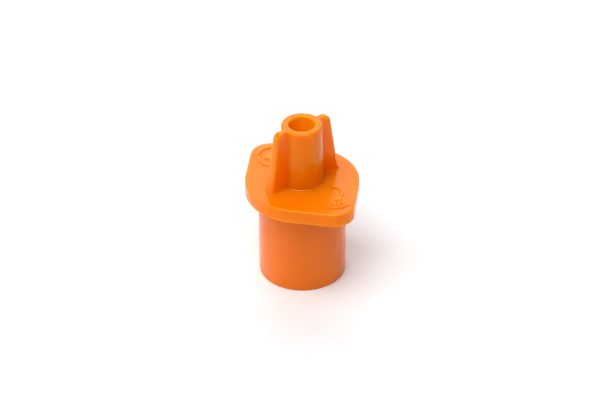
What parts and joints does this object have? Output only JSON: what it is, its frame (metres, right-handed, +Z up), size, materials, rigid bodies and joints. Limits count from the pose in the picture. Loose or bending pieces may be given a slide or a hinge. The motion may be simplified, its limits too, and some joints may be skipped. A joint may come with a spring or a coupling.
{
  "type": "drip emitter",
  "caption": "Take-apart drip emitter: plain round spigot below a two-lobed grip flange, with a winged spout on top and the metering parts and filter inside.",
  "frame": {"origin": "centre of the spigot's lower end, on the axis of the spigot and the spout", "axes": "+Z up along the spout, X through the two lobes of the flange, Y through the two wings"},
  "size_m": [0.0364, 0.028, 0.0425],
  "materials": {
    "orange_plastic": "satin moulded polypropylene",
    "black_rubber": "matte",
    "clear_silicone": "satin",
    "grey_acetal": "satin",
    "ivory_acetal": "satin",
    "blue_nylon": "woven"
  },
  "bodies": {
    "inlet_body": {"base_collar": "orange_plastic"},
    "cap_seal": {"cap_o_ring": "black_rubber"},
    "cap": {"winged_cap": "orange_plastic"},
    "metering_core": {"metering_seat": "ivory_acetal", "labyrinth_disc": "grey_acetal", "labyrinth_gasket": "black_rubber"},
    "carrier": {"diaphragm_carrier": "grey_acetal", "carrier_seal": "black_rubber"},
    "diaphragm": {"diaphragm": "clear_silicone"},
    "filter": {"filter_basket": "ivory_acetal", "filter_mesh": "blue_nylon"}
  },
  "joints": [
    {"name": "cap_lift", "type": "slide", "parent": "inlet_body", "child": "cap_seal", "axis": [0, 0, 1], "range_m": [0, 0.036]},
    {"name": "cap_twist", "type": "hinge", "parent": "cap_seal", "child": "cap", "pos_m": [0, 0, 0.0228], "axis": [0, 0, 1], "range_deg": [0, 1080.5]},
    {"name": "core_lift", "type": "slide", "parent": "inlet_body", "child": "metering_core", "axis": [0, 0, 1], "range_m": [0, 0.0267]},
    {"name": "carrier_lift", "type": "slide", "parent": "inlet_body", "child": "carrier", "axis": [0, 0, 1], "range_m": [0, 0.02165]},
    {"name": "diaphragm_travel", "type": "slide", "parent": "carrier", "child": "diaphragm", "axis": [0, 0, 1], "range_m": [0, 0.00055]},
    {"name": "filter_lift", "type": "slide", "parent": "inlet_body", "child": "filter", "axis": [0, 0, 1], "range_m": [0, 0.0177]}
  ],
  "couplings": [
    {"joint": "cap_twist", "follows": "cap_lift", "rad_per_m": 523.6},
    {"joint": "core_lift", "follows": "cap_lift", "ratio": 0.74},
    {"joint": "carrier_lift", "follows": "cap_lift", "ratio": 0.6},
    {"joint": "filter_lift", "follows": "cap_lift", "ratio": 0.49}
  ]
}
